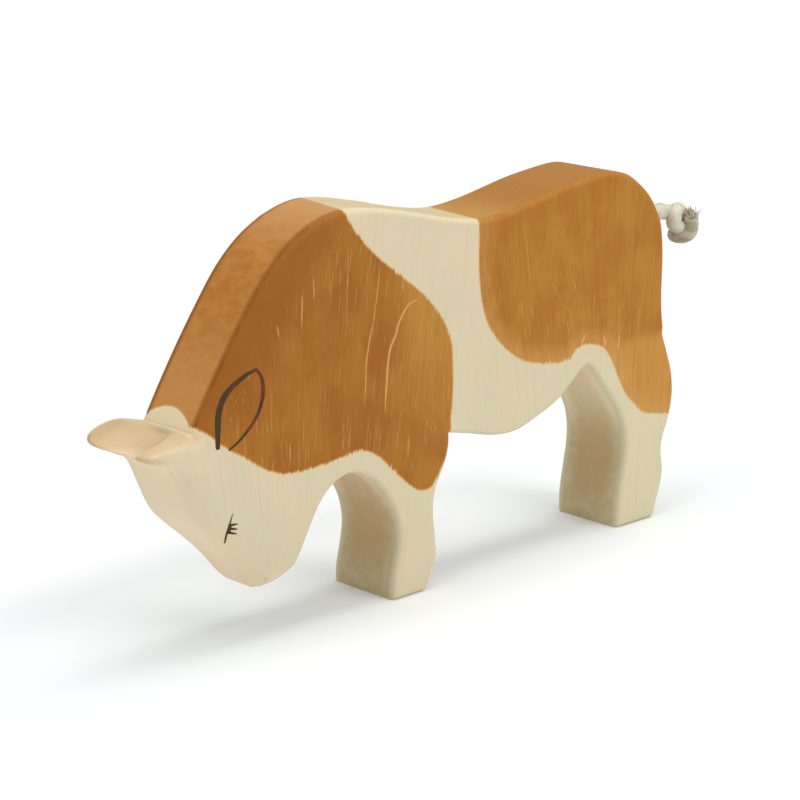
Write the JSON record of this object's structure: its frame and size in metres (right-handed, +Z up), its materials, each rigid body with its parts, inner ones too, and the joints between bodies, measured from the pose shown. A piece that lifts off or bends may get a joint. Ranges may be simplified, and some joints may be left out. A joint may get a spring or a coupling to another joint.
{
  "type": "wooden toy bull",
  "caption": "Bull with a lowered head, sawn and carved from one board, with stained patches and a knotted cord tail glued into a bore in the rump.",
  "frame": {"origin": "on the ground, midway along the wooden body and midway between its flanks", "axes": "+X runs from the horns to the tail, +Y to the flank on the bull's own right-hand side seen with +Z up, +Z is up"},
  "size_m": [0.1972, 0.022, 0.0982],
  "materials": {
    "wood": "fine sanded and oiled, with thin brown stain on the shoulder and the rump",
    "glue": "cured, smooth",
    "cord": "twisted fibre, dry and a little fuzzy"
  },
  "bodies": {
    "root": {"body": "wood", "tail_glue": "glue", "tail_cord": "cord", "tail_knot": "cord", "tail_tuft": "cord"}
  },
  "joints": []
}
